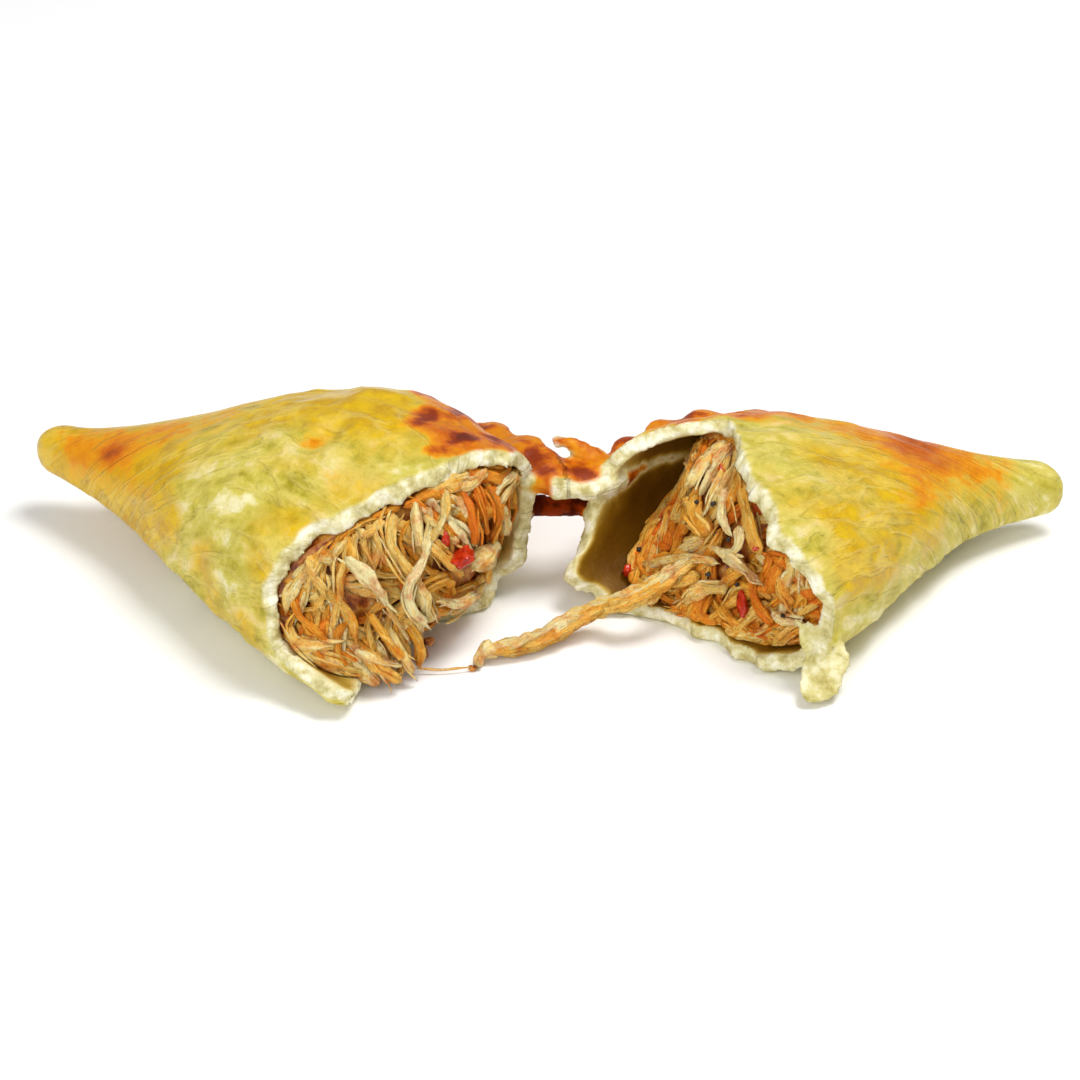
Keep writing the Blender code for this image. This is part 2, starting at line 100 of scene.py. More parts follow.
class Half:
    """One half of the pastry: a bag that narrows from its torn mouth to its tip.

    Along it, a is the distance from the mouth, and b the distance from the folded edge
    towards the rim. Round a section the angle runs from the rim (0) over the dome (90),
    to the fold (180) and back under the base (270 degrees). Sizes are given in mm.
    """

    tip_b = 5.0 * MM  # the tip's middle, from the line of the fold
    tip_r = 4.4 * MM
    fold_z = 12.5 * MM

    def __init__(self, side, turn, corner, length, width, dome, rim_z, tip_z, **shape):
        self.side = side  # -1 for the left half, +1 for the right one
        self.corner = [c * MM for c in corner]  # where the fold meets the mouth, in plan
        self.length = length * MM
        self.width = width * MM  # fold to rim, at the mouth
        self.dome = dome * MM  # height over the line from rim to fold
        self.rim_z = rim_z * MM
        self.tip_z = tip_z * MM
        self.tear = [depth * MM for depth in shape["tear"]]  # how deep the crust is torn back
        self.fill = [depth * MM for depth in shape["fill"]]  # where the filling meets it
        self.fill_middle = shape["fill_middle"] * MM
        self.fold_bow = shape["fold_bow"] * MM  # how far the folded edge curves in
        self.mouth_drop = shape["mouth_drop"]  # share of the dome's height lost at the mouth
        self.dome_run = shape["dome_run"]
        self.rim_fall = shape["rim_fall"]
        self.brown_turn = shape["brown_turn"]  # how far the rim's browning reaches over the top
        self.brown_narrowing = shape["brown_narrowing"]
        self.brown_share = shape["brown_share"]
        angle = math.radians(turn)
        self.along = (side * math.cos(angle), math.sin(angle))
        self.across = (-side * math.sin(angle), math.cos(angle))

    def outline(self, u):
        """Rim and fold distances at share u of the length."""
        nub = self.tip_b + self.tip_r
        rim = nub + (self.width - nub) * (1 + np.cos(np.pi * u**1.9)) / 2
        fold = (self.tip_b - self.tip_r) * u**1.3 + self.fold_bow * np.sin(np.pi * u**1.7)
        return rim, fold

    def heights(self, u):
        """Heights of the rim, the fold, the underside and the dome at share u."""
        rim = self.rim_z + (self.tip_z - self.rim_z) * ease(u * self.rim_fall)
        fold = self.fold_z + (self.tip_z - self.fold_z) * u**2
        under = (self.tip_z - self.tip_r) * ease((u - 0.25) / 0.75)
        body = self.dome * (1 - self.mouth_drop * (1 - ease(u / 0.35)))
        dome = self.tip_r + (body - self.tip_r) * (1 + np.cos(np.pi * u**self.dome_run)) / 2
        return rim, fold, under, dome

    def section(self, a, phi, inset=0.0, close=1.0):
        """Across-distance and height of the skin at distance a and angle phi.

        inset moves it inwards, and close (0 to 1) draws the section to its middle.
        """
        u = np.clip(a / self.length, 0, 1)
        rim, fold = self.outline(u)
        rim_z, fold_z, under, dome = self.heights(u)
        tip = 1 - (np.clip(u - ROUND_END, 0, None) / (1 - ROUND_END)) ** 2
        close = close * np.sqrt(np.clip(tip, 0, 1))
        cos, sin = np.cos(phi), np.sin(phi)
        seam = fold_z + (rim_z - fold_z) * (1 + cos) / 2
        b = (rim + fold) / 2 + ((rim - fold) / 2 - inset) * cos * close
        blunt = 0.75 + 0.25 * (1 + cos) / 2
        over = seam + close * (dome - inset) * np.abs(sin) ** blunt
        flat_belly = np.minimum(1.12 * np.abs(sin) ** 0.55, 1)
        below = seam - close * (seam - under - inset) * flat_belly
        return b, np.where(sin >= 0, over, below)

    def world(self, a, b, z):
        """The point at distances a and b on this half, at height z."""
        x = self.corner[0] + a * self.along[0] + b * self.across[0]
        y = self.corner[1] + a * self.along[1] + b * self.across[1]
        return Vector((float(x), float(y), float(z)))

    def lumped(self, a, phi, inset, close=1.0):
        """A point of the skin with the soft bumps of the filling under it."""
        lift = rough((a, phi * CORNER_SHARE, 0), LUMP_SIZE, 3.1 + self.side) * LUMP
        lift *= float(ease(1.15 - a / self.length))
        if math.sin(phi) < -0.2:  # the underside lies flat on the table
            lift = 0.0
        b, z = self.section(a, phi, inset - lift, close)
        return self.world(a, b, z)

    def wall_point(self, a, turn):
        """A point in the middle of the wall, turn degrees round the section."""
        b, z = self.section(a, math.radians(turn), WALL / 2)
        return self.world(a, b, z)

    def skin_point(self, a, turn):
        """A point on the outside, a mm from the mouth and turn degrees round the section."""
        b, z = self.section(a * MM, math.radians(turn))
        return self.world(a * MM, b, z)

    def torn_edge(self, phi):
        return float(around(self.tear, phi))

    def face_a(self, r, phi):
        """How deep the filling's face lies, r from its middle (0) to the wall (1)."""
        return self.fill_middle * (1 - r * r) + float(around(self.fill, phi)) * r * r


LEFT = Half(
    side=-1,
    turn=51.5,
    corner=(-45.5, -34.0),
    length=84,
    width=57,
    dome=21.4,
    rim_z=22.5,
    tip_z=13,
    tear=[2, 0, -1, 0, 2.5, 4.5, 3.5, -12, -4, 1, 3, 3],
    fill=[4, 2, 1, 0.5, 2, 5, 4, -3, -6, -1, 3, 5],
    fill_middle=-6,
    fold_bow=3.2,
    mouth_drop=0.28,
    dome_run=1.35,
    rim_fall=1.12,
    brown_turn=1.38,
    brown_narrowing=0.6,
    brown_share=1,
)
RIGHT = Half(
    side=1,
    turn=46.5,
    corner=(47.5, -30.0),
    length=73,
    width=54,
    dome=14,
    rim_z=21,
    tip_z=8.5,
    tear=[0, 6, 18, 9, 2, 0, 1, -2, -4, -4, -5, -11],
    fill=[24, 23, 21, 13, 7, 4, 5, 3, 0, -2, -3, 4],
    fill_middle=4,
    fold_bow=6,
    mouth_drop=0,
    dome_run=1.5,
    rim_fall=0.8,
    brown_turn=1.38,
    brown_narrowing=0.2,
    brown_share=0.62,
)

# Which skin a point of the dough belongs to
OUTSIDE, TORN, INSIDE, RIM, RIBBON, FLAP = 0, 1, 2, 3, 4, 5
marks = []  # (point, skin, side, distance in from the torn edge) of the dough as it was shaped


def object_from(name, shape):
    """A mesh object made from a bmesh, which this frees."""
    mesh = bpy.data.meshes.new(name)
    shape.to_mesh(mesh)
    shape.free()
    made = bpy.data.objects.new(name, mesh)
    bpy.context.scene.collection.objects.link(made)
    return made


def moulded(name, rings, segments, place):
    """A UV ball whose points are moved to place(t, phi), with t from 0 to 1, pole to pole."""
    shape = bmesh.new()
    bmesh.ops.create_uvsphere(shape, u_segments=segments, v_segments=rings, radius=1)
    for vert in shape.verts:
        t = math.acos(max(-1.0, min(1.0, vert.co.z))) / math.pi
        phi = math.atan2(vert.co.y, vert.co.x) % TURN
        vert.co = place(t, phi)
    if shape.calc_volume(signed=True) < 0:
        bmesh.ops.reverse_faces(shape, faces=shape.faces)
    return object_from(name, shape)


JAGS = [(2.6, 7, 7), (1.3, 3.9, 13), (0.5, 2.1, 17)]  # of the torn edge: height, size, seed; mm
MOUTH_R = 22 * MM  # the circle that the jags are laid out on
TEAR_SLANT = 1.5 * MM  # how much further the outer layer is torn back than the inner one
SHELL_SEGMENTS = 264
SHELL_RINGS = 170


def shell(half, name):
    """The bag of dough: its skin from the tip to the torn mouth, then its inner wall back in."""
    outside_share = 0.62
    cavity_end = 0.8 * half.length
    narrowing = 0.5  # share of the cavity's depth where it starts to close
    lip = 1 / 6  # share of the inner wall over which the torn lip is rounded

    def place(t, phi):
        mouth = (MOUTH_R * math.cos(phi), MOUTH_R * math.sin(phi), 0)
        jag = relief_at(mouth, JAGS, half.side)
        slant = TEAR_SLANT * max(0.0, math.sin(phi)) ** 0.5
        outer = half.torn_edge(phi) + jag + 0.6 * slant
        inner = outer - slant
        if t <= outside_share:
            run = math.sin((1 - t / outside_share) * math.pi / 2)
            a = outer + (half.length - outer) * run
            point = half.lumped(a, phi, 0.0)
            marks.append((point, OUTSIDE, half.side, a - outer))
            return point
        run = (t - outside_share) / (1 - outside_share)
        if run == 1:
            return half.lumped(cavity_end, 0.0, WALL, 0.0)
        torn_run = min(1.0, run / lip)
        in_run = max(0.0, run - lip) / (1 - lip)
        deeper = (cavity_end - inner) * math.sin(in_run * math.pi / 2)
        a = outer + (inner - outer) * torn_run + deeper
        depth = max(0.0, (a / cavity_end - narrowing) / (1 - narrowing))
        point = half.lumped(a, phi, WALL * torn_run, math.sqrt(max(0.0, 1 - depth**2)))
        marks.append((point, TORN if torn_run < 1 else INSIDE, half.side, a - inner))
        return point

    return moulded(name, SHELL_RINGS, SHELL_SEGMENTS, place)


def run_of(points):
    """The length of a path."""
    return sum((b - a).length for a, b in zip(points, points[1:]))


def smooth_path(points, steps=6):
    """A Catmull-Rom curve through a few points."""
    ends = [points[0] * 2 - points[1], *points, points[-1] * 2 - points[-2]]
    path = []
    for p0, p1, p2, p3 in zip(ends, ends[1:], ends[2:], ends[3:]):
        for k in range(steps):
            f = k / steps
            bend = (2 * p0 - 5 * p1 + 4 * p2 - p3) + (3 * (p1 - p2) + p3 - p0) * f
            path.append(p1 + (p2 - p0 + bend * f) * (0.5 * f))
    return [*path, points[-1]]


def along(points, t):
    """The point and direction at share t of a path's length."""
    steps = [(b - a).length for a, b in zip(points, points[1:])]
    left = t * sum(steps)
    for k, step in enumerate(steps):
        if left <= step or k == len(steps) - 1:
            f = min(1.0, left / step) if step else 0.0
            a, b = points[max(k - 1, 0)], points[min(k + 2, len(points) - 1)]
            return points[k].lerp(points[k + 1], f), (b - a).normalized()
        left -= step


RIM_WIDTH = 8.0 * MM  # how far it stands out
RIM_THICK = 4.4 * MM  # both layers of dough, pressed together
RIM_BITE = 2.4 * MM  # how far the strip runs into the shell's wall
RIM_TILT = 0.22
RIM_END = 0.93
RIM_TIP_SHARE = 0.28
RIM_TIP_RUN = 48 * MM
CRIMP_PITCH = 9.5 * MM  # one press of the finger
CRIMP_DEPTH = 0.8 * MM
HINGE_RUN = 15 * MM  # half the length of the bridge between the halves
HINGE_BITE = 3.0 * MM
HINGE_SWELL = 0.3
HINGE_DIP = 1.5 * MM
HINGE_SHIFT = 4 * MM
PINCH = 0.45
PINCH_RUN = 22 * MM
PINCH_SHIFT = 14 * MM
RIM_RINGS = 420
RIM_SEGMENTS = 40


def rim_root(half, u):
    """A point on the line where the rim leaves the shell, at share u of the length."""
    b, z = half.section(u * half.length, 0.0)
    return half.world(u * half.length, b, z)


def rim_path():
    """The rim's root from the left tip, over the hinge between the halves, to the right tip."""
    steps = 64
    bend = 10  # the corner at the hinge is relaxed over this many steps each way
    left = [rim_root(LEFT, RIM_END * (1 - k / steps)) for k in range(steps)]
    right = [rim_root(RIGHT, RIM_END * k / steps) for k in range(1, steps + 1)]
    points = left + right
    span = range(steps - bend, steps + bend)
    for _ in range(14):
        eased = [(points[k - 1] + 2 * points[k] + points[k + 1]) / 4 for k in span]
        points[span.start : span.stop] = eased
    return points


def rim(name):
    """The sealed edge: one strip of pressed dough that both halves hang from."""
    path = rim_path()
    length = run_of(path)
    corner_at = run_of(path[: len(path) // 2])

    def near(t, shift, run):
        """1 at the hinge's corner, moved by shift, and 0 from run away from it."""
        return float(ease(1 - abs(t * length - corner_at - shift) / run))

    def place(t, phi):
        point, ahead = along(path, t)
        if t in (0, 1):
            return point
        out = Vector((-ahead.y, ahead.x, RIM_TILT)).normalized()
        up = ahead.cross(out).normalized()
        if up.z < 0:
            up.negate()
        hinge = near(t, HINGE_SHIFT, HINGE_RUN)
        wave = math.cos(TURN * t * length / CRIMP_PITCH)
        tip = float(ease(min(t, 1 - t) * length / RIM_TIP_RUN))
        taper = RIM_TIP_SHARE + (1 - RIM_TIP_SHARE) * tip
        width = RIM_WIDTH * (1 - PINCH * near(t, PINCH_SHIFT, PINCH_RUN))
        reach = (width + CRIMP_DEPTH * wave) * taper
        bite = RIM_BITE + HINGE_BITE * hinge
        side = 0.5 + 0.5 * math.cos(phi)
        thick = RIM_THICK / 2 * (1 + 0.15 * wave) * (1 - 0.25 * side) * (1 + HINGE_SWELL * hinge)
        sideways = (reach + bite) * side - bite
        dip = Vector((0, 0, HINGE_DIP * hinge))
        made = point - dip + out * sideways + up * (thick * taper * math.sin(phi))
        gap = near(t, HINGE_SHIFT, HINGE_RUN * 0.62)
        bare = gap > 0.25 and side < 0.16
        marks.append((made, TORN if bare else RIM, -1 if t * length < corner_at else 1, sideways))
        return made

    return moulded(name, RIM_RINGS, RIM_SEGMENTS, place)


def strip(name, points, wide, thick, face, skew=1.0, blunt=0.45, curl=0.0, skins=(RIM, TORN)):
    """A torn strip along a smooth path, whose broad side looks towards face.

    wide and thick are half sizes. A skew over 1 makes its start the pointed end, a smaller
    blunt keeps its width further towards both ends, and curl raises both long edges. skins
    are its two sides.
    """
    path = smooth_path(points)

    def place(t, phi):
        point, ahead = along(path, t)
        if t in (0, 1):
            return point
        side = ahead.cross(Vector(face)).normalized()
        up = side.cross(ahead).normalized()
        share = math.sin(math.pi * t**skew) ** blunt
        share *= 1 + 0.22 * rough((t * run_of(path), math.cos(phi) * wide, 0), 3 * MM, 5.0)
        rise = thick * share * math.sin(phi) + curl * share * (math.cos(phi) ** 2 - 0.5)
        made = point + side * (wide * share * math.cos(phi)) + up * rise
        marks.append((made, skins[0 if math.sin(phi) > -0.2 else 1], 1, 0.0))
        return made

    return moulded(name, 60, 24, place)


def from_root(root, places):
    """Points given in mm from a root point."""
    return [root + Vector(place) * MM for place in places]


def lower_ribbon(name):
    """The browned bottom layer, still whole in a narrow strip under the hinge."""
    left = LEFT.wall_point(6 * MM, 355)
    right = RIGHT.wall_point(4 * MM, 355)
    sag = Vector((0, 0, -1 * MM))
    middle = [left.lerp(right, share) + sag for share in (0.35, 0.5, 0.65)]
    points = [left, *middle, right]
    face = (0.2, -0.5, 0.8)
    skins = (RIBBON, RIBBON)
    return strip(name, points, 2.5 * MM, 0.9 * MM, face, 0.8, 0.2, curl=0.7 * MM, skins=skins)


def front_flap(name):
    """A tongue of torn dough that hangs from the right half's front corner to the table."""
    root = RIGHT.wall_point(0, 205)
    over_lip = [(-3.5, -1.5, 8.5), (-0.5, -1.8, 5), (2, -2, 0.8)]
    points = from_root(root, [*over_lip, (1.2, -5.5, -2.1), (-1.4, -9.8, -2.9)])
    face = (0, -0.6, 0.8)
    return strip(name, points, 4.2 * MM, 1.0 * MM, face, 1.5, curl=1.6 * MM, skins=(FLAP, FLAP))


def hinge_flake(name):
    """A flake of the top layer that has lifted off the rim at the hinge."""
    path = rim_path()
    root = path[len(path) // 2 + 4]
    places = [(0, 0.5, 0), (-2.8, 0.3, 1.6), (-6, 1, 3), (-8.5, 1.3, 4), (-11.5, 1.9, 4.4)]
    return strip(name, from_root(root, places), 1.9 * MM, 0.8 * MM, (0, -0.5, 0.85))


def apply_modifiers(piece):
    graph = bpy.context.evaluated_depsgraph_get()
    mesh = bpy.data.meshes.new_from_object(piece.evaluated_get(graph))
    piece.modifiers.clear()
    piece.data = mesh


def joined(name, pieces):
    """One mesh object from many."""
    shape = bmesh.new()
    for piece in pieces:
        shape.from_mesh(piece.data)
        bpy.data.objects.remove(piece)
    return object_from(name, shape)


halves = [shell(LEFT, "left_half"), shell(RIGHT, "right_half"), rim("rim")]
torn = [lower_ribbon("ribbon"), front_flap("flap"), hinge_flake("flake")]
crust = joined("baked_crust", halves + torn)

GRAIN = 0.72 * MM  # how finely the joined dough is divided
knead = crust.modifiers.new("knead", "REMESH")
knead.mode = "VOXEL"
knead.voxel_size = GRAIN
apply_modifiers(crust)
soften = crust.modifiers.new("soften", "SMOOTH")
soften.factor = 0.5
soften.iterations = 3
apply_modifiers(crust)

# Spots on each half's skin: mm from the mouth, degrees round the section, radius in mm, strength
BROWNED = {
    LEFT: [
        (69, 121, 8, 0.24), (63, 137, 2.5, 0.4), (61, 150, 5, 0.25), (57, 112, 8, 0.28),
        (75, 150, 9, 0.14), (46, 160, 4, 0.2), (52, 172, 6, 0.15), (48, 95, 9, 0.2),
        (21.4, 100, 3.2, 0.4), (9, 105, 4, 0.2), (16, 72, 6, 0.12), (5, 60, 5, 0.2),
    ],
    RIGHT: [
        (58, 118, 8, 0.3), (50, 95, 9, 0.22), (40, 75, 11, 0.3), (42, 125, 7, 0.26),
        (27, 64, 8, 0.2), (13, 52, 6, 0.12), (50, 82, 7, 0.3), (34, 148, 5, 0.3),
        (12, 150, 3, 0.2),
    ],
}
EGGED = {
    LEFT: [
        (13, 144, 4, 0.3), (9, 155, 3.5, 0.4), (6, 108, 5, 0.45), (9, 128, 4.5, 0.3),
        (38, 172, 4, 0.6), (10, 186, 5, 0.5), (22, 187, 5, 0.45), (24, 176, 4, 0.5),
        (16, 74, 12, 0.6), (38, 80, 14, 0.7), (56, 150, 12, 0.8), (60, 172, 12, 0.6),
        (45, 168, 8, 0.4), (73, 155, 13, 1.1),
    ],
    RIGHT: [
        (8, 160, 4.5, 1.0), (20, 160, 6, 0.35), (32, 152, 7, 0.5), (14, 131, 7, 0.5),
        (7, 118, 5, 0.3), (26, 112, 8, 0.45), (42, 112, 13, 0.6), (10, 108, 6, 0.1),
        (16, 172, 4, 0.6),
    ],
}
VENT = LEFT.skin_point(21.4, 100)  # where steam lifted the top
VENT_SIZE = 4.2 * MM
VENT_DEPTH = 1.8 * MM
CREASE_LIFT, CREASE_SIZE = 0.75 * MM, 4.2 * MM  # long creases along each half
FOLD_LIFT, FOLD_SIZE = 0.9 * MM, 9 * MM  # broader folds between them
FLAKE_LIFT, FLAKE_SIZE = 0.22 * MM, 1.7 * MM
CREASED_TO, CREASED_FADE = 38 * MM, 20 * MM  # they fade towards the tips
RIM_RELIEF = [(0.25, 4, 12.0), (0.12, 1.8, 3.0)]  # height, size and seed of each layer, in mm
TORN_RELIEF = [(0.4, 1.4, 4.0), (0.85, 3.1, 6.0)]
SWELL = [(0.4, 5, 9.0)]
INSIDE_RELIEF = [(0.2, 3, 14.0)]
RELIEFS = {TORN: TORN_RELIEF, RIM: RIM_RELIEF, RIBBON: RIM_RELIEF}


def finish_crust(piece):
    """Presses the dough's fine relief into its surface, paints where each finish lies, and paints
    shade on the inner wall.
    """
    mesh = piece.data
    count = len(mesh.vertices)
    points = np.empty(count * 3, np.float32)
    mesh.vertices.foreach_get("co", points)
    points = points.reshape(-1, 3).astype(float)
    normals = np.empty(count * 3, np.float32)
    mesh.vertices.foreach_get("normal", normals)
    normals = normals.reshape(-1, 3)
    tree = kdtree.KDTree(len(marks))
    for k, mark in enumerate(marks):
        tree.insert(mark[0], k)
    tree.balance()
    near = [marks[tree.find(Vector(point))[1]] for point in points]
    skin = np.array([mark[1] for mark in near])
    side = np.array([mark[2] for mark in near])
    depth = np.array([mark[3] for mark in near])

    torn = np.where(skin == TORN, 1.0, np.where(skin == FLAP, 0.5, 0.0))
    torn = np.maximum(torn, np.where(skin == OUTSIDE, 0.7 - depth / (0.6 * MM), 0))
    # The inner wall darkens deeper into the cavity: painted shade. Lower down on the right half's
    # wall it darkens more: painted shade and sauce stain.
    inside_and_painted_shade = np.where(skin == INSIDE, 0.35 + np.clip(depth / (16 * MM), 0, 0.65), 0.0)
    low = np.clip((19 * MM - points[:, 2]) / (8 * MM), 0, 1)
    inside_and_painted_shade += np.where((skin == INSIDE) & (side == RIGHT.side), 0.4 * low, 0)
    rim_skin = np.where(skin == RIM, 1.0, np.where(skin == RIBBON, 1.9, 0.0))
    back_edge = np.zeros(count)  # the browning of the rim runs onto the top
    grain = np.zeros((count, 3))
    for half in (LEFT, RIGHT):
        mine = side == half.side
        rel = points[mine][:, :2] - np.array(half.corner)
        a = rel @ np.array(half.along)
        b = rel @ np.array(half.across)
        u = np.clip(a / half.length, 0, 1)
        rim_b, fold_b = half.outline(u)
        rim_z, fold_z, _, dome = half.heights(u)
        turn = np.arctan2(
            (points[mine][:, 2] - (rim_z + fold_z) / 2) / dome,
            (b - (rim_b + fold_b) / 2) / (rim_b - fold_b) * 2,
        )
        turn = np.where(turn < -math.pi / 2, turn + TURN, turn)  # its jump lies underneath
        arc = turn * (rim_b - fold_b) * 0.36
        grain[mine] = np.stack([a, arc, np.full(len(a), half.side * 60 * MM)], 1)
        wave = 0.07 * np.sin(a / (4 * MM)) + 0.05 * np.sin(a / (1.7 * MM))
        limit = half.brown_turn - half.brown_narrowing * ease((a - 12 * MM) / (22 * MM))
        above = ease((limit - turn + wave) / 0.22) * ease((turn + 0.35) / 0.25)
        back_edge[mine] = above * half.brown_share * (1 - 0.5 * ease((a - 35 * MM) / (25 * MM)))
    rim_skin = np.where(skin == OUTSIDE, np.maximum(rim_skin, back_edge), rim_skin)

    lift = np.zeros(count)
    wobble = np.zeros((count, 3))
    for k in range(count):
        point = points[k]
        wobble[k] = noise.noise_vector(Vector(point / (6 * MM)))
        if skin[k] != OUTSIDE:
            lift[k] = relief_at(point, RELIEFS.get(skin[k], INSIDE_RELIEF))
            continue
        a, arc, _ = grain[k] + wobble[k] * 2.5 * MM
        crease = abs(rough((a / 3.2, arc, side[k] * MM), CREASE_SIZE, 2.0))
        fold = abs(rough((a / 2.2, arc, side[k] * MM), FOLD_SIZE, 5.0))
        flake = rough((a / 2.5, arc, side[k] * MM), FLAKE_SIZE, 8.0)
        lift[k] = CREASE_LIFT * (0.22 - crease) + FOLD_LIFT * (0.2 - fold)
        lift[k] += relief_at(point, SWELL) + FLAKE_LIFT * flake
        lift[k] *= 1 - 0.85 * ease((a - CREASED_TO) / CREASED_FADE)
    vent = np.linalg.norm(points + wobble * 1.5 * MM - np.array(VENT), axis=1) / VENT_SIZE
    lift -= VENT_DEPTH * np.exp(-(vent**3)) * (skin == OUTSIDE)
    lift[points[:, 2] < 0.6 * MM] = 0  # the base stays on the table
    points += normals * lift[:, None]

    def painted(places):
        """How much of a finish each point has, from its spots on both halves."""
        paint = np.zeros(count)
        warped = points + wobble * 2.2 * MM
        for half, spots in places.items():
            for a, turn, radius, strength in spots:
                far = np.linalg.norm(warped - np.array(half.skin_point(a, turn)), axis=1)
                paint += strength * np.exp(-((far / (radius * MM)) ** 2))
        return paint

    lowest, highest = (np.array(corner) for corner in cad_box)
    points = np.clip(points, lowest, highest)
    mesh.vertices.foreach_set("co", points.astype(np.float32).ravel())
    finishes = {
        "browned": painted(BROWNED),
        "egged": painted(EGGED),
        "torn": np.clip(torn, 0, 1),
        "inside_and_painted_shade": inside_and_painted_shade,
        "rim": rim_skin,
    }
    edges = np.empty(len(mesh.edges) * 2, int)
    mesh.edges.foreach_get("vertices", edges)
    edges = edges.reshape(-1, 2)
    joins = np.bincount(edges.ravel(), minlength=count)
    for name, values in finishes.items():
        for _ in range(2):  # blends the finishes over the neighbouring points
            total = np.bincount(edges[:, 0], values[edges[:, 1]], count)
            total += np.bincount(edges[:, 1], values[edges[:, 0]], count)
            values = (values + total) / (1 + joins)
        layer = mesh.attributes.new(name, "FLOAT", "POINT")
        layer.data.foreach_set("value", values.astype(np.float32))
    layer = mesh.attributes.new("grain", "FLOAT_VECTOR", "POINT")
    layer.data.foreach_set("vector", grain.astype(np.float32).ravel())
    mesh.update()
    mesh.shade_smooth()


finish_crust(crust)


def colour(text):
    """An sRGB hex value as linear RGBA."""
    parts = [int(text[k : k + 2], 16) / 255 for k in (1, 3, 5)]
    return (*[c / 12.92 if c <= 0.04045 else ((c + 0.055) / 1.055) ** 2.4 for c in parts], 1)


def add(tree, kind, inputs=(), stops=(), **settings):
    """One shader node. inputs pairs each socket with a value or another node's output."""
    made = tree.nodes.new("ShaderNode" + kind)
    for name, value in settings.items():
        setattr(made, name, value)
    for socket, value in dict(inputs).items():
        if isinstance(value, bpy.types.NodeSocket):
            tree.links.new(value, made.inputs[socket])
        else:
            made.inputs[socket].default_value = value
    for k, (place, shade) in enumerate(stops):
        stop = made.color_ramp.elements[k] if k < 2 else made.color_ramp.elements.new(place)
        stop.position = place
        stop.color = colour(shade)
    return made


def attribute(tree, name, output="Fac"):
    """One of the piece's own attributes."""
    return add(tree, "Attribute", attribute_name=name).outputs[output]


def maths(tree, operation, *values):
    return add(tree, "Math", dict(enumerate(values)), operation=operation).outputs[0]


def share_of(tree, value, low, high, first=0.0, last=1.0):
    """value's range from low to high, as first to last."""
    limits = {0: value, 1: low, 2: high, 3: first, 4: last}
    return add(tree, "MapRange", limits).outputs[0]


def mixed(tree, share, first, second):
    blend = {0: share, 6: first, 7: second}
    return add(tree, "Mix", blend, data_type="RGBA").outputs[2]


def ramp(tree, value, *stops):
    return add(tree, "ValToRGB", {0: value}, stops=stops).outputs[0]


def speckle(tree, place, size, detail, roughness, distortion=0.0):
    """Noise with bumps of the given size, in metres."""
    look = {"Detail": detail, "Roughness": roughness, "Distortion": distortion}
    return add(tree, "TexNoise", {"Vector": place, "Scale": 1 / size, **look}).outputs["Fac"]


def stretched(tree, vector, *sizes):
    """A vector divided by a size each way, for a noise of size 1."""
    scales = tuple(1 / size for size in sizes)
    return add(tree, "Mapping", {"Vector": vector, "Scale": scales}).outputs[0]


def bump(tree, height, distance, strength, **under):
    """Relief from a height. under may hold the Normal of the relief below it."""
    look = {"Strength": strength, "Distance": distance, "Height": height}
    return add(tree, "Bump", {**look, **under}).outputs[0]


def new_material(name, finish):
    """A material of one principled surface, whose inputs finish makes in its node tree."""
    made = bpy.data.materials.new(name)
    made.use_nodes = True
    made.node_tree.nodes.clear()
    surface = add(made.node_tree, "BsdfPrincipled", finish(made.node_tree))
    add(made.node_tree, "OutputMaterial", {"Surface": surface.outputs[0]})
    return made


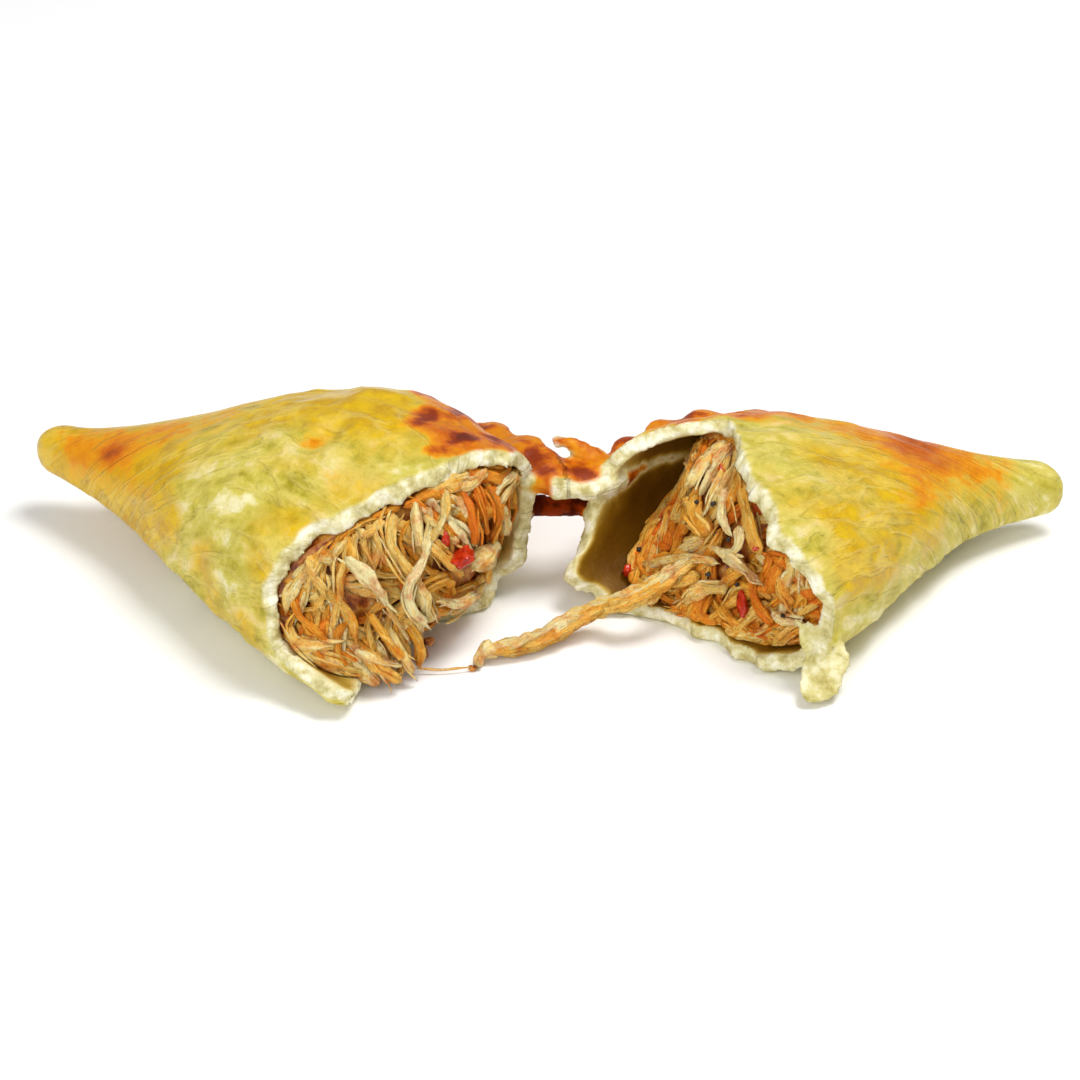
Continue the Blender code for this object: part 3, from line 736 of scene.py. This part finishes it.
# Egg-washed wheat crust, baked: satin, glossy where the egg lies thick, finely wrinkled. The
# egg gives yellow to orange-brown patches, and the bare dough is cream with pale raised creases.
def baked_dough(t):
    place = add(t, "TexCoord").outputs["Object"]
    grain = attribute(t, "grain", "Vector")
    torn, inside_and_painted_shade, rim = (attribute(t, name) for name in ("torn", "inside_and_painted_shade", "rim"))
    blotch = speckle(t, place, 0.010, 5, 0.6)
    mottle = speckle(t, place, 0.0035, 6, 0.65)
    streak = speckle(t, stretched(t, grain, 0.009, 0.0045, 0.01), 1, 6, 0.55, 0.4)
    crease_noise = speckle(t, stretched(t, grain, 0.016, 0.006, 0.01), 1, 4, 0.5, 0.3)
    crease_far = maths(t, "ABSOLUTE", maths(t, "SUBTRACT", crease_noise, 0.5))
    crease_range = {0: crease_far, 1: 0.07, 2: 0.0}
    crease = add(t, "MapRange", crease_range, interpolation_type="SMOOTHSTEP").outputs[0]

    egg_sum = maths(t, "ADD", attribute(t, "egged"), blotch)
    egg_fine = maths(t, "MULTIPLY_ADD", mottle, 0.7, egg_sum)
    egg = share_of(t, maths(t, "MULTIPLY_ADD", streak, 0.5, egg_fine), 1.17, 1.6)
    dough_place = maths(t, "DIVIDE", maths(t, "MULTIPLY_ADD", mottle, 0.8, streak), 1.8)
    # The streaks' darker olive tones are painted crease shade.
    dough_and_crease_shade_tones = [(0.37, "#9E8F22"), (0.45, "#BFAF42"), (0.53, "#D0C25E"), (0.61, "#E9DFAE")]
    dough = ramp(t, dough_place, *dough_and_crease_shade_tones)
    washed = mixed(t, egg, dough, ramp(t, mottle, (0.35, "#BE9002"), (0.6, "#D8B002")))
    creased = mixed(t, maths(t, "MULTIPLY", crease, 0.3), washed, colour("#E2CE74"))

    brown_fine = maths(t, "MULTIPLY_ADD", mottle, 0.55, attribute(t, "browned"))
    rim_brown = maths(t, "MULTIPLY_ADD", rim, 0.42, brown_fine)
    rim_spot = maths(t, "MULTIPLY", share_of(t, speckle(t, place, 0.007, 3, 0.5), 0.46, 0.62), rim)
    brown = share_of(t, maths(t, "MULTIPLY_ADD", rim_spot, 0.3, rim_brown), 0.4, 1.3)
    light_browns = [(0.0, "#E0B204"), (0.2, "#DE9002"), (0.45, "#C66202")]
    brown_colour = ramp(t, brown, *light_browns, (0.7, "#8E3202"), (1.0, "#4E1602"))
    baked = mixed(t, share_of(t, brown, 0.0, 0.22), creased, brown_colour)

    # Torn crumb, cream to white; its darker olive patches are painted shade.
    crumb_with_shade = ramp(t, mottle, (0.34, "#B3A465"), (0.47, "#D8CE99"), (0.6, "#F3EFD6"))
    torn_cover = share_of(t, torn, 0.15, 0.7)
    inner_shade_place = share_of(t, maths(t, "MULTIPLY_ADD", blotch, 0.5, inside_and_painted_shade), 0.5, 1.4)
    # Cream at the mouth to dark brown deep in the cavity: painted shade.
    inner_wall_shade_tones = [(0.0, "#DACD92"), (0.3, "#B3923A"), (0.6, "#7C560C"), (1.0, "#5C3A05")]
    inner = ramp(t, inner_shade_place, *inner_wall_shade_tones)
    with_torn = mixed(t, torn_cover, baked, crumb_with_shade)

    satin = maths(t, "MULTIPLY_ADD", mottle, 0.4, 0.16)
    relief = share_of(t, inside_and_painted_shade, 0.05, 0.3, 0.62, 0.08)
    folds = bump(t, crease, 0.0004, relief)
    flakes = bump(t, streak, 0.0012, relief, Normal=folds)
    return {
        "Base Color": mixed(t, share_of(t, inside_and_painted_shade, 0.05, 0.3), with_torn, inner),
        "Roughness": maths(t, "MULTIPLY_ADD", torn_cover, 0.35, satin),
        "Normal": bump(t, speckle(t, place, 0.0011, 5, 0.65), 0.0004, 0.6, Normal=flakes),
        "Specular IOR Level": 0.12,
        "Coat Weight": share_of(t, egg, 0.2, 1.0, 0.02, 0.25),
        "Coat Roughness": 0.16,
    }


crust_finish = new_material("egg_washed_baked_dough", baked_dough)
crust.data.materials.append(crust_finish)
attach(crust, "root")
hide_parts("crust")

# The chicken
# Poached breast, pulled into shreds by hand and stewed in a tomato and annatto sauce. It fills
# each half up to the torn mouth, where the shreds lie over each other every way. Each half has
# a packed core and its shreds, and one long shred hangs from the right half onto the table.

GAP = 0.4 * MM  # clearance between crust and filling
FACE_HEIGHT = 15 * MM  # middle of the torn face over the table
FACE_LUMP = 1.6 * MM
FACE_LUMP_SIZE = 7 * MM
STRAND_CLEAR = 0.1 * MM


def face_place(half, r, phi, a=0.0):
    """Across-distance and height of a place on the filling's face, at distance a."""
    b, z = half.section(a, phi, WALL + GAP)
    middle_b, middle_z = half.section(a, phi, WALL + GAP, 0.0)
    middle_z = 0.55 * middle_z + 0.45 * FACE_HEIGHT
    return middle_b + (b - middle_b) * r, middle_z + (z - middle_z) * r


def face_point(half, r, phi, proud):
    """A point on the filling's torn face, moved out of the mouth by proud."""
    a = half.face_a(r, phi)
    b, z = face_place(half, r, phi, a)
    lump = rough((b, z, 0), FACE_LUMP_SIZE, 11 + half.side) * FACE_LUMP * (1 - r**4)
    return half.world(a - proud + lump, b, z)


def face_polar(half, b, z, clear):
    """The r and phi whose face_place is b, z, kept clear of the wall."""
    phis = np.arange(72) / 72 * TURN
    edge_b, edge_z = face_place(half, 1, phis, around(half.fill, phis))
    middle_b, middle_z = face_place(half, 0, phis, half.fill_middle)
    out_b, out_z = edge_b - middle_b, edge_z - middle_z
    here_b, here_z = b - middle_b, z - middle_z
    reach = np.hypot(out_b, out_z)
    r = (here_b * out_b + here_z * out_z) / reach**2
    miss = np.hypot(here_b - out_b * r, here_z - out_z * r)
    miss = np.where(r >= 0, miss, 1.0)
    best = int(np.argmin(miss))
    return min(float(r[best]), 1 - clear / float(reach[best])), float(phis[best])


def packed_core(half, name):
    """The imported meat: the cavity's own shape, and a lumpy face across the torn mouth."""
    wall_share = 0.4
    inner = 0.76 * half.length
    narrowing = 0.5

    def place(t, phi):
        if t == 0:
            return half.lumped(inner, 0.0, WALL + GAP, 0.0)
        if t > wall_share:
            point = face_point(half, (1 - t) / (1 - wall_share), phi, -1.6 * MM)
            return point + noise.noise_vector(point / (2.2 * MM)) * (0.5 * MM)
        front = half.face_a(1, phi) + 1.6 * MM
        a = inner + (front - inner) * math.sin(t / wall_share * math.pi / 2)
        depth = max(0.0, (a / inner - narrowing) / (1 - narrowing))
        return half.lumped(a, phi, WALL + GAP, math.sqrt(max(0.0, 1 - depth**2)))

    return moulded(name, 90, 96, place)


BODY_SIDES = 18
BODY_RINGS = 16
FIBRE_SIDES = 5
FIBRE_RINGS = 9


def tube(meat, path, radii, turn, size, look, draw):
    """A closed torn tube along a path, made from a UV ball and added to the bmesh meat.

    radii gives the half width and half thickness, size its sides and rings, and look its
    tone, its share of ridges and its share of lumps.
    """
    wide, thick = radii
    tone_here, ridged, lumpy = look
    length = run_of(path)
    seed = draw.uniform(0, 50)
    ridges = draw.choice((5, 6, 7, 8))
    twist = draw.uniform(-2.5, 2.5)
    shape = bmesh.new()
    fibre = shape.verts.layers.float_vector.new("fibre")
    tone = shape.verts.layers.float.new("tone")
    bmesh.ops.create_uvsphere(shape, u_segments=size[0], v_segments=size[1], radius=1)
    frames = {}
    for vert in shape.verts:
        t = math.acos(max(-1.0, min(1.0, vert.co.z))) / math.pi
        phi = math.atan2(vert.co.y, vert.co.x)
        key = round(t, 4)
        if key not in frames:
            point, ahead = along(path, t)
            face = Vector((math.cos(turn), 0.35, math.sin(turn)))
            side = ahead.cross(face).normalized()
            share = max(0.0, math.sin(math.pi * t)) ** 0.2
            share *= 1 + lumpy * rough((t * length, seed * MM, 0), 3.5 * MM, seed)
            frames[key] = (point, side, side.cross(ahead).normalized(), share)
        point, side, up, share = frames[key]
        ridge = 1 + ridged * math.cos(ridges * phi + twist * t + seed)
        ridge += 1.4 * ridged * rough((t * length / 3, phi * MM, 0), 0.8 * MM, seed)
        ridge += 1.2 * ridged * rough((t * length, phi * MM, 0), 1.3 * MM, 2 * seed)
        cos, sin = math.cos(phi) * ridge, math.sin(phi) * ridge
        vert.co = point + (side * (wide * cos) + up * (thick * sin)) * share
        vert[fibre] = Vector((cos * wide, sin * thick, t * length + seed * MM))
        vert[tone] = tone_here
    mesh = bpy.data.meshes.new("tube")
    shape.to_mesh(mesh)
    shape.free()
    meat.from_mesh(mesh)
    bpy.data.meshes.remove(mesh)


def shred(meat, path, wide, thick, tone, draw, loose=3):
    """One shred of meat: a ridged body with a few loose fibres along it and at its ends."""
    turn = draw.uniform(-0.9, 0.9)
    tube(meat, path, (wide, thick), turn, (BODY_SIDES, BODY_RINGS), (tone, 0.16, 0.55), draw)
    ends = [along(path, t)[0] for t in (0.0, 0.17, 0.33, 0.5, 0.67, 0.83, 1.0)]
    for _ in range(loose):
        first = draw.choice((0, 0, 2, 3, 3))
        some = ends[first : first + 4]
        off = Vector([draw.gauss(0, 1) for _ in range(3)]) * (0.5 * wide)
        over = (some[-1] - some[0]).normalized() * draw.uniform(0.1, 1.1) * MM
        stray = [Vector([draw.gauss(0, 0.25) * MM for _ in range(3)]) for _ in some]
        points = [point + off + away for point, away in zip(some, stray)]
        points[0] -= over
        points[-1] += over
        thin = draw.uniform(0.14, 0.32) * MM
        pale = min(1.0, max(0.0, tone + draw.uniform(-0.25, 0.1)))
        path_here, size = smooth_path(points, 4), (FIBRE_SIDES, FIBRE_RINGS)
        tube(meat, path_here, (thin * 1.4, thin), turn, size, (pale, 0, 0.4), draw)


def meat_mesh(name, fill):
    """A mesh object of shreds: fill adds them to a bmesh."""
    shape = bmesh.new()
    fill(shape)
    bmesh.ops.recalc_face_normals(shape, faces=shape.faces)
    made = object_from(name, shape)
    made.data.shade_smooth()
    return made


def on_face(half, b, z, radius, proud):
    """A point over the filling's face at across-distance b and height z, both in metres."""
    r, phi = face_polar(half, b, z, radius / 2 + STRAND_CLEAR)
    return face_point(half, r, phi, proud)


BUNDLES = 62
SHRED_LENGTH = (7, 16)  # in mm, at random between the two
SHRED_HALF_WIDTH = (0.5, 1.35)
SHRED_HEADING = (2.0, 0.9)  # mean and spread of the angle that a bundle lies at
BURIED = -1.8 * MM  # how proud of the face the first bundle lies, and then the whole heap
HEAP = 3.0 * MM


def scattered_shreds(half, shape, soaked, draw):
    """Bundles of three shreds at random over the whole face, the deeper ones darker: painted shade
    and more sauce.
    """
    for k in range(BUNDLES):
        layer = k / BUNDLES
        r0 = math.sqrt(draw.uniform(0.0, 1.0)) if k % 3 else draw.uniform(0.85, 1.0)
        middle_b, middle_z = face_place(half, r0, draw.uniform(0, TURN), half.fill_middle * 0.5)
        heading = draw.gauss(*SHRED_HEADING)
        length = draw.uniform(*SHRED_LENGTH) * MM
        bow = draw.uniform(-1, 1) * length * 1.4
        proud = BURIED + HEAP * layer + draw.uniform(-0.6, 0.6) * MM
        # Deeper bundles get a darker, more orange tone: painted shade and sauce together.
        tone = draw.gauss(0.62 + soaked - 0.45 * layer, 0.16)
        shift = 0.0
        for strand in range(3):
            wide = draw.uniform(*SHRED_HALF_WIDTH) * MM
            slip = draw.uniform(-0.25, 0.25)
            points = []
            for s in (-0.5, -0.17, 0.17, 0.5):
                s += slip * abs(s)
                off = bow * (0.25 - s * s) + shift + draw.uniform(-0.4, 0.4) * MM
                b = middle_b + s * length * math.cos(heading) - off * math.sin(heading)
                z = middle_z + s * length * math.sin(heading) + off * math.cos(heading)
                lift = proud * (1 - s * s) + draw.uniform(-0.7, 0.7) * MM
                points.append(on_face(half, b, z, wide, lift))
            shift += 2.2 * wide
            tone_here = min(1.0, max(0.0, tone + draw.uniform(-0.12, 0.12)))
            thick = wide * draw.uniform(0.5, 0.8)
            shred(shape, smooth_path(points), wide, thick, tone_here, draw, 2)


# Shreds that stand out on each face: places as (across, height, proud of the face), then half
# width, half thickness and tone, from pale (0) to soaked in sauce (1). All lengths are in mm.
LEFT_SHREDS = [
    ([(31, 28.5, 1.6), (25.8, 22, 2.8), (21.3, 18, 3.4), (21.8, 13.5, 3.4),
      (25.5, 9.5, 2.8)], 0.8, 0.8, 0.02),
    ([(22.5, 30.5, 0.6), (21.6, 25.7, 2.2), (21.5, 22, 2.6), (24.2, 17.2, 2.4)], 1.4, 0.8, 0.3),
    ([(35.0, 30.1, 1), (31.5, 27, 2.2), (27.3, 23.4, 2.2)], 1.2, 0.8, 0.25),
    ([(27.5, 30.5, 0.6), (26.3, 26, 1.8), (25.8, 22.5, 1.8)], 0.9, 0.8, 0.1),
    ([(14.2, 23.5, 1.2), (16.4, 19.2, 2.4), (18.7, 14.5, 2.2)], 1.8, 0.9, 0),
    ([(6.2, 25.0, 0.4), (8.4, 21.8, 1.6), (9.6, 18.8, 2.0), (7.0, 16.3, 1.6)], 1.4, 0.7, 0.3),
    ([(4.8, 19, 0.6), (5.2, 15.1, 1.6), (6.4, 11.7, 2.2), (8.4, 9.6, 2.2)], 1.0, 0.8, 0.6),
    ([(2.6, 11.6, 1.0), (4.0, 9.8, 2.0), (6.6, 9.2, 2.4), (9.4, 9.0, 2.2)], 1.2, 0.8, 0.3),
    ([(11.5, 8.5, 2.0), (14.5, 6.3, 3.0), (18.2, 4.8, 3.6)], 1.1, 0.8, 0.12),
    ([(15.2, 13.8, 2.4), (16.6, 9.5, 3.4), (18.8, 5.6, 3.6)], 0.9, 0.8, 0.5),
    ([(40.4, 30.2, 0.2), (39.6, 25.5, 1.6), (39.8, 20.6, 1.8)], 1.4, 0.8, 0.74),
    ([(37.4, 29.6, 0.2), (36.8, 24.6, 1.4), (36.6, 19.8, 1.6)], 1.2, 0.7, 0.8),
    ([(43.0, 27.5, 0.6), (43.4, 23.0, 1.6), (42.0, 18.0, 1.8)], 1.2, 0.7, 0.7),
    ([(42.8, 25.1, 1), (46, 20, 1.8), (48.2, 14.9, 1.2)], 1.0, 0.8, 0.15),
    ([(46.4, 24.0, 0.6), (48.6, 19.5, 1.4), (50.0, 15.5, 1.0)], 0.9, 0.7, 0.5),
    ([(28.2, 12.9, 2), (33, 10.5, 2.6), (37.6, 9.6, 2)], 0.9, 0.7, 0.1),
    ([(31, 8.0, 2.4), (37.5, 7.4, 2.2), (44, 8.6, 1.6)], 0.9, 0.7, 0.2),
    ([(36.0, 15.5, 2.2), (40.2, 16.5, 2.4), (44.6, 15.2, 1.8)], 1.5, 0.8, 0.12),
    ([(11.4, 17.5, 1.0), (12.4, 13.5, 2.2), (12.2, 9.8, 2.4)], 1.1, 0.8, 0.45),
]
RIGHT_SHREDS = [
    ([(40.5, 26.0, 1.0), (38.5, 23.5, 2.2), (37.0, 21.0, 2.0)], 1.5, 0.7, 0.18),
    ([(37.5, 26.5, 1.0), (35.0, 24.0, 2.4), (34.2, 21.0, 2.2)], 1.6, 0.7, 0.1),
    ([(33.5, 26.0, 1.0), (31.5, 23.5, 2.2), (31.0, 20.5, 1.8)], 1.3, 0.7, 0.2),
    ([(43, 6.0, 0.8), (36.5, 10.5, 2.2), (31, 12.8, 2.6), (26.0, 13.4, 2.0)], 1.1, 0.8, 0.2),
    ([(25.6, 14.6, 1.6), (21.8, 15.4, 2.6), (17.6, 13.4, 2.0)], 1.6, 0.8, 0.08),
    ([(24.2, 21.0, 1.4), (21.8, 18.8, 2.4), (23.8, 16.2, 2.4), (27.8, 15.4, 1.8)], 0.9, 0.8, 0.1),
    ([(31.5, 23.2, 0.8), (28.3, 21.2, 2.0), (25.2, 19.4, 1.8)], 0.8, 0.7, 0.04),
    ([(29.0, 25.0, 0.4), (24.2, 23.6, 1.6), (20.6, 20.4, 1.6), (18.0, 17.8, 1.2)], 1.9, 1.0, 0.4),
    ([(39.0, 6.4, 1.2), (33.6, 8.4, 2.4), (29.2, 10.4, 2.0)], 1.7, 1.0, 0.42),
    ([(30.0, 4.8, 1.2), (27.8, 7.8, 2.4), (23.6, 9.6, 2.2)], 1.3, 0.8, 0.25),
    ([(14.4, 8.0, 1.4), (11.0, 8.2, 2.0), (7.8, 8.2, 1.2)], 0.7, 0.6, 0.1),
    ([(35.6, 20.6, 0.6), (33.6, 18.4, 1.8), (29.4, 17.2, 2.0)], 1.6, 0.9, 0.5),
    ([(41.6, 13.8, 0.4), (37.6, 15.8, 1.6), (34.0, 16.4, 1.8)], 1.2, 0.8, 0.3),
    ([(40.6, 16.0, 0.2), (37.0, 17.6, 1.4), (32.6, 18.6, 1.6)], 0.9, 0.7, 0.35),
    ([(20.2, 12.4, 1.0), (17.0, 9.0, 2.2), (13.0, 6.4, 1.6)], 1.1, 0.8, 0.75),
    ([(15.0, 17.0, 0.6), (12.4, 13.4, 1.8), (10.0, 11.0, 1.2)], 1.4, 0.8, 0.45),
    ([(24.4, 6.2, 1.6), (20.4, 5.4, 2.2), (16.0, 4.8, 1.6)], 1.1, 0.8, 0.55),
    ([(39.8, 22.6, -0.4), (36.8, 23.6, 1.0), (33.8, 24.2, 1.2)], 1.2, 0.8, 0.75),
]


# Shreds that hang over the left half's lower lip to the table: places in mm
LIP_SHREDS = [
    [(-33.5, -28.2, 8), (-30.3, -31.0, 6.5), (-27.5, -31.8, 4.2), (-24.9, -32.1, 2.4)],
    [(-31.0, -23.6, 13), (-29.1, -25.3, 11), (-26.7, -28.4, 8.5), (-24.5, -29.5, 5.2),
     (-23, -29.3, 2.4)],
    [(-35.9, -27.6, 8), (-33.5, -30.0, 5.5), (-30.7, -31.8, 3.4), (-28.7, -32.4, 2)],
    [(-27.0, -22.4, 13), (-25.8, -23.4, 11), (-23.4, -25.2, 8.5), (-22.0, -26.3, 5.2),
     (-22.4, -27.3, 2.2)],
    [(-28.0, -24.0, 11.5), (-26.2, -26.2, 8.2), (-24.4, -27.4, 5.0), (-25.6, -29.8, 2.2)],
    [(-31.5, -26.0, 10), (-29.0, -29.2, 7), (-27.4, -30.4, 4.6), (-26.8, -31.4, 1.8)],
]


def path_through(places):
    """A smooth path through places given in mm."""
    return smooth_path([Vector(place) * MM for place in places])


def placed_shreds(half, shape, shreds, draw):
    """The shreds of a table, each laid over the face through its own places."""
    for places, wide, thick, tone in shreds:
        points = [on_face(half, b * MM, z * MM, wide * MM, proud * MM) for b, z, proud in places]
        shred(shape, smooth_path(points), wide * MM, thick * MM, tone, draw, loose=4)


# Stewed chicken: cream to tan fibres in a thin orange sauce, wet, so it shines in places.
def stewed_meat(t):
    place = add(t, "TexCoord").outputs["Object"]
    fibre = attribute(t, "fibre", "Vector")
    threads = speckle(t, stretched(t, fibre, 0.0005, 0.0005, 0.004), 1, 5, 0.6)
    tone = maths(t, "ADD", maths(t, "MULTIPLY_ADD", threads, -1.1, attribute(t, "tone")), 0.55)
    pale = [(0.0, "#FFF0B4"), (0.25, "#FCD473"), (0.5, "#F8B034")]
    meat = ramp(t, tone, *pale, (0.75, "#F28418"), (1.0, "#D65614"))
    sauce = share_of(t, speckle(t, place, 0.004, 5, 0.65), 0.48, 0.66)
    knobs = bump(t, speckle(t, place, 0.0011, 4, 0.6), 0.0011, 0.8)
    return {
        "Base Color": mixed(t, maths(t, "MULTIPLY", sauce, 0.75), meat, colour("#E0720A")),
        "Roughness": 0.42,
        "Normal": bump(t, threads, 0.0009, 1.0, Normal=knobs),
        "Specular IOR Level": 0.2,
        "Coat Weight": 0.08,
        "Coat Roughness": 0.15,
    }


# The imported meat under the shreds, soaked in sauce: dark orange-brown, wet and lumpy. Its dark
# tones are partly painted shade in the gaps between the shreds.
def soaked_and_shaded_meat(t):
    lumps = speckle(t, add(t, "TexCoord").outputs["Object"], 0.0022, 5, 0.6)
    return {
        "Base Color": ramp(t, lumps, (0.35, "#5A2004"), (0.48, "#A85410"), (0.64, "#D89A3C")),
        "Roughness": 0.4,
        "Normal": bump(t, lumps, 0.0008, 0.8),
    }


meat_finish = new_material("stewed_chicken_meat", stewed_meat)
core_finish = new_material("sauce_soaked_and_shaded_meat", soaked_and_shaded_meat)

draw = random.Random(31)
sides = [
    (LEFT, "left", LEFT_SHREDS, LIP_SHREDS, 0.04),
    (RIGHT, "right", RIGHT_SHREDS, [], 0.22),
]
for half, name, shreds, lip_shreds, soaked in sides:
    core = packed_core(half, name + "_packed_meat")
    core.data.shade_smooth()
    core.data.materials.append(core_finish)

    def all_shreds(shape):
        scattered_shreds(half, shape, soaked, draw)
        placed_shreds(half, shape, shreds, draw)
        for places in lip_shreds:
            path = path_through(places)
            shred(shape, path, 1.3 * MM, 0.9 * MM, draw.uniform(0.1, 0.5), draw, loose=4)

    pulled = meat_mesh(name + "_shreds", all_shreds)
    pulled.data.materials.append(meat_finish)
    for piece in (core, pulled):
        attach(piece, "root")
        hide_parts("filling_" + name)

LONG_SHRED = [
    (29.5, -4, 12),
    (24.8, -7.5, 11.4),
    (19.4, -12.2, 10),
    (14.2, -14, 8),
    (9, -12.4, 5.5),
    (3.7, -14.4, 3.6),
    (-1.5, -18.4, 2.5),
    (-6.7, -20.6, 2.2),
    (-11.2, -21.9, 2),
]


LONG_SHRED_END = [(-9.6, -21.0, 2.6), (-11.6, -22.8, 2.0), (-12.4, -24.8, 1.3)]


def long_shred(shape):
    """The shred that hangs over the right half's lip and lies on the table.

    It is five strands laid side by side, with a lump of meat at the end.
    """
    path = path_through(LONG_SHRED)
    strands = 5
    for k in range(strands):
        turn = TURN * k / strands
        off = Vector((0.3 * math.cos(turn), 0.7 * math.sin(turn), 0.6 * math.cos(turn))) * MM
        first = draw.randint(0, 8)
        last = len(path) - draw.randint(0, 6)
        some = [point + off for point in path[first:last]]
        look = (0.12 + 0.07 * k, 0.2, 0.5)
        tube(shape, some, (1.5 * MM, 1.1 * MM), turn, (20, 70), look, draw)
    end = path_through(LONG_SHRED_END)
    tube(shape, end, (1.5 * MM, 1.2 * MM), 0.4, (20, 30), (0.15, 0.16, 0.9), draw)


hanging = meat_mesh("long_hanging_shred", long_shred)
hanging.data.materials.append(meat_finish)
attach(hanging, "root")
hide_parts("filling_right")

# Small bits
# Diced red pepper that was cooked with the meat, ground black pepper, and crumbs of sauce and
# meat that fell on the table, with one thin thread.


def bits(name, node, places, finish, seed):
    """Small irregular lumps: each place is x, y, z and the three half sizes, in mm."""
    shape = bmesh.new()
    turns = random.Random(seed)
    for x, y, z, *half_sizes in places:
        made = bmesh.ops.create_icosphere(shape, subdivisions=3, radius=1)
        angle = turns.uniform(0, TURN)
        swing = Matrix.Rotation(angle, 3, Vector((turns.random(), turns.random(), 1)))
        for vert in made["verts"]:
            out = vert.co * (1 + 0.55 * noise.noise(vert.co * 1.3 + Vector((x, y, z))))
            out = Vector([c * size * MM for c, size in zip(out, half_sizes)])
            vert.co = Vector((x, y, z)) * MM + swing @ out
            vert.co.z = max(vert.co.z, 0.1 * MM)
    made = object_from(name, shape)
    made.data.shade_smooth()
    made.data.materials.append(finish)
    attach(made, "root")
    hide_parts(node)


def on_half(half, b, z, proud, *half_sizes):
    """A bit's place on a half's torn face, in mm, with its half sizes."""
    point = on_face(half, b * MM, z * MM, 1 * MM, proud * MM) / MM
    return (*point, *half_sizes)


# Cooked red pepper: wet and glossy, deep red with lighter flecks.
def red_pepper(t):
    flecks = speckle(t, add(t, "TexCoord").outputs["Object"], 0.0015, 4, 0.6)
    return {"Base Color": ramp(t, flecks, (0.35, "#8E1204"), (0.6, "#C8300C")), "Roughness": 0.22}


# Ground black pepper: dry and nearly black.
def black_pepper(t):
    dust = speckle(t, add(t, "TexCoord").outputs["Object"], 0.0003, 2, 0.5)
    return {"Base Color": ramp(t, dust, (0.3, "#120C06"), (0.7, "#35281A")), "Roughness": 0.6}


pepper_finish = new_material("cooked_red_pepper", red_pepper)
speck_finish = new_material("ground_black_pepper", black_pepper)

left_pepper = [
    on_half(LEFT, 32.6, 20.2, 2.6, 0.9, 1.9, 2.8),
    on_half(LEFT, 30.4, 23.6, 1.8, 0.6, 0.9, 1.2),
]
right_pepper = [
    on_half(RIGHT, 19.4, 8.2, 2.8, 1.3, 0.8, 2.2),
    on_half(RIGHT, 44.6, 5.6, 2.0, 1.4, 0.9, 1.0),
    on_half(RIGHT, 18.2, 18.8, 2.2, 0.5, 0.6, 1.0),
    on_half(RIGHT, 34.2, 24.2, 1.6, 0.8, 0.6, 0.9),
]
bits("left_pepper_pieces", "filling_left", left_pepper, pepper_finish, 5)
bits("right_pepper_pieces", "filling_right", right_pepper, pepper_finish, 6)
speck_places = [(34.4, 17.4), (33.6, 20.6), (30.6, 21.8), (44.4, 8.6), (27.0, 11.4)]
speck_places += [(21.6, 11.0), (10.8, 9.6), (24, 19)]
specks = [on_half(RIGHT, b, z, 2.9, 0.42, 0.35, 0.5) for b, z in speck_places]
bits("black_pepper_specks", "filling_right", specks, speck_finish, 7)
thread_places = [(-23.0, -25.8, 1.2), (-18.7, -25.9, 0.9), (-15.6, -25.5, 1.0), (-12.9, -24.8, 0.8)]
thread_path = path_through(thread_places)


def thin_thread(shape):
    tube(shape, thread_path, (0.24 * MM, 0.2 * MM), 0, (6, 20), (0.2, 0, 0.6), draw)


thread = meat_mesh("thin_thread", thin_thread)
thread.data.materials.append(meat_finish)
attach(thread, "root")
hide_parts("filling_left")
crumbs = [
    (-20.8, -19.2, 2.6, 0.9, 0.8, 1.1),
    (-21.6, -21, 1.2, 0.8, 0.7, 1.0),
    (-13.2, -24.9, 0.6, 0.7, 0.4, 0.5),
]
bits("crumbs", "filling_left", crumbs, core_finish, 8)

# Studio
# A pale matt tabletop that runs far past the frame, and soft light from large lamps.
shape = bmesh.new()
bmesh.ops.create_grid(shape, x_segments=1, y_segments=1, size=3)
floor = object_from("tabletop", shape)


def white_table(t):
    return {"Base Color": colour("#FCFCFA"), "Roughness": 0.7}


table_finish = new_material("matt_white_table", white_table)
floor.data.materials.append(table_finish)

TARGET = Vector((-0.0015, 0.003, 0.010))  # the point at the middle of the photograph
ELEVATION = math.radians(30)
DISTANCE = 0.55
FRAME_SIDE = 1080  # pixels
PIXELS_PER_MM = 5.6  # at the target
camera_data = bpy.data.cameras.new("camera")
camera_data.sensor_width = 36
camera_data.lens = 36 * PIXELS_PER_MM * DISTANCE / MM / FRAME_SIDE
camera = bpy.data.objects.new("camera", camera_data)
camera.location = TARGET + Vector((0, -math.cos(ELEVATION), math.sin(ELEVATION))) * DISTANCE
camera.rotation_euler = (math.pi / 2 - ELEVATION, 0, 0)
bpy.context.scene.collection.objects.link(camera)
bpy.context.scene.camera = camera


def lamp(name, place, size, power):
    """A square soft box that looks at the middle of the object."""
    data = bpy.data.lights.new(name, "AREA")
    data.size = size
    data.energy = power
    made = bpy.data.objects.new(name, data)
    made.location = place
    made.rotation_mode = "QUATERNION"
    made.rotation_quaternion = (TARGET - Vector(place)).to_track_quat("-Z", "Y")
    bpy.context.scene.collection.objects.link(made)


lamp("key_light", (0.3, 0.1, 0.9), 0.4, 6.7)
lamp("front_light", (-0.4, -0.9, 0.6), 0.8, 7.5)
world = bpy.data.worlds.new("studio_air")
world.use_nodes = True
world.node_tree.nodes["Background"].inputs["Color"].default_value = colour("#F2F4F7")
world.node_tree.nodes["Background"].inputs["Strength"].default_value = 0.4
bpy.context.scene.world = world

bpy.context.scene.view_settings.view_transform = "Standard"
